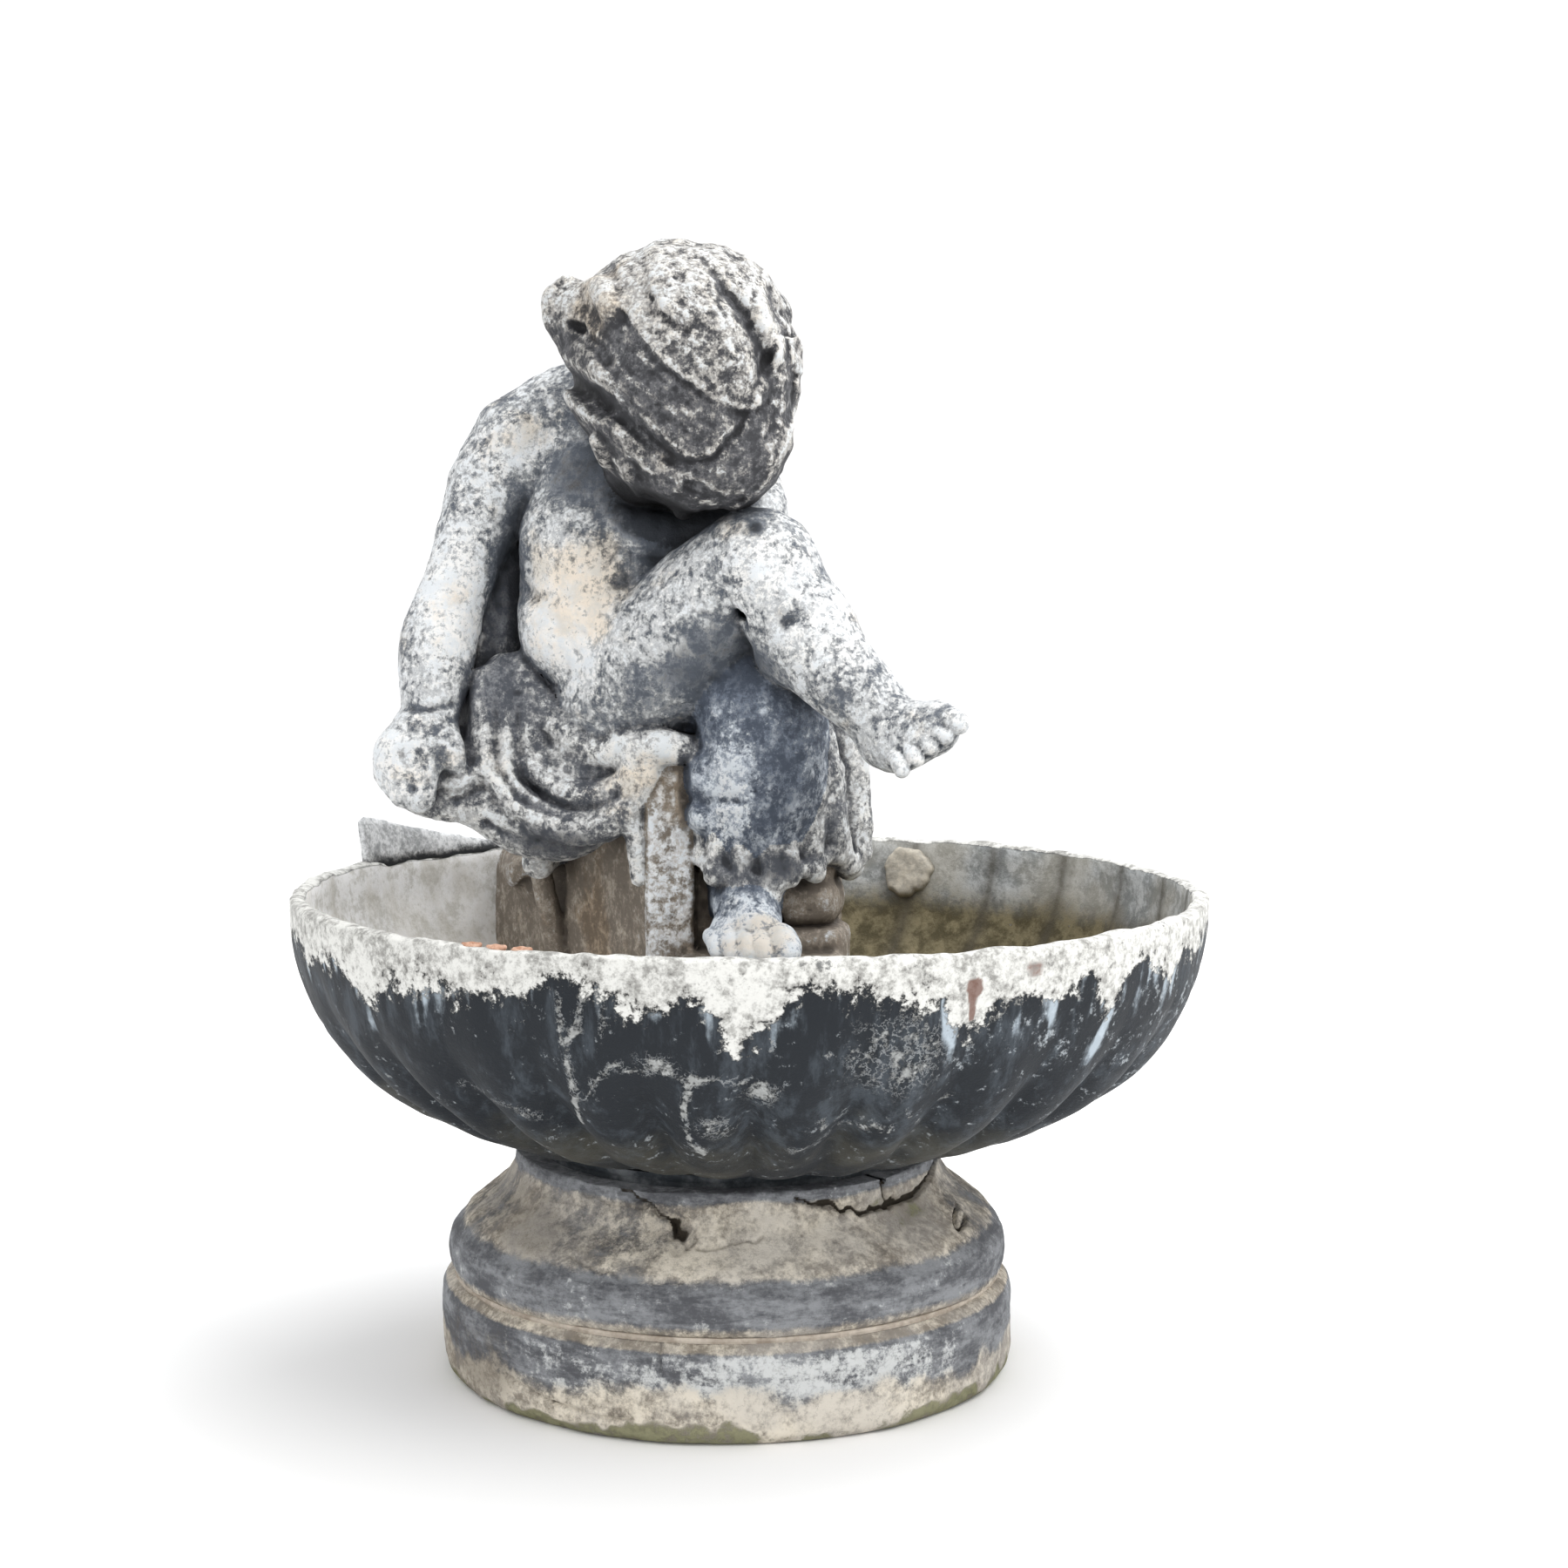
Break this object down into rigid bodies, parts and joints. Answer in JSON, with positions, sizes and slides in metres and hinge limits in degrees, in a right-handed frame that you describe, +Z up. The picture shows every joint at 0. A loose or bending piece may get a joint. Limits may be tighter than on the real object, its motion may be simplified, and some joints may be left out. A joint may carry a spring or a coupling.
{
  "type": "bird bath",
  "caption": "Lead bird bath: a drowsing putto on a draped plinth inside a lobed shell basin, which stands loose on a round moulded socle.",
  "frame": {"origin": "centre of the socle's flat underside, on the ground", "axes": "+Z up, -Y towards the front, from which the figure's crown and knees are seen, +X to the right of that view"},
  "size_m": [0.3978, 0.37, 0.4872],
  "materials": {
    "socle_lead": "dusty, matt, weathered",
    "mortar": "rough",
    "basin_lead": "dark patina with pale lichen crust",
    "seat_lead": "dusty, matt, weathered",
    "drapery_lead": "weathered, pale ridges and dark hollows",
    "figure_lead": "weathered, pale speckled bloom",
    "dark_figure_lead": "weathered, slate blue",
    "hair_lead": "weathered, pale ridges",
    "solder": "dull",
    "casting_core": "rough plaster",
    "rusty_iron": "rusty"
  },
  "bodies": {
    "socle": {"socle_drum": "socle_lead", "socle_neck": "socle_lead", "socle_seam": "socle_lead", "socle_core": "mortar", "locating_dowels": "rusty_iron"},
    "bowl": {"basin_shell": "basin_lead", "basin_foot": "basin_lead", "foot_seam": "solder", "hinge_crest": "basin_lead", "interior_patch": "solder", "rim_plugs": "rusty_iron", "seat_plinth": "seat_lead", "seat_core": "casting_core", "rock_base": "seat_lead", "foot_rock": "seat_lead", "seat_seam": "solder", "lap_drapery": "drapery_lead", "side_drapery": "drapery_lead", "back_drapery": "drapery_lead", "torso": "figure_lead", "torso_core": "casting_core", "head": "hair_lead", "head_core": "casting_core", "right_arm": "figure_lead", "left_arm": "figure_lead", "right_leg": "figure_lead", "left_leg": "dark_figure_lead", "spine_bar": "rusty_iron", "limb_wires": "rusty_iron", "fixing_nut": "rusty_iron", "fixing_washer": "rusty_iron"}
  },
  "joints": [
    {"name": "bowl_lift", "type": "slide", "parent": "socle", "child": "bowl", "axis": [0, 0, 1], "range_m": [0, 0.15]}
  ]
}
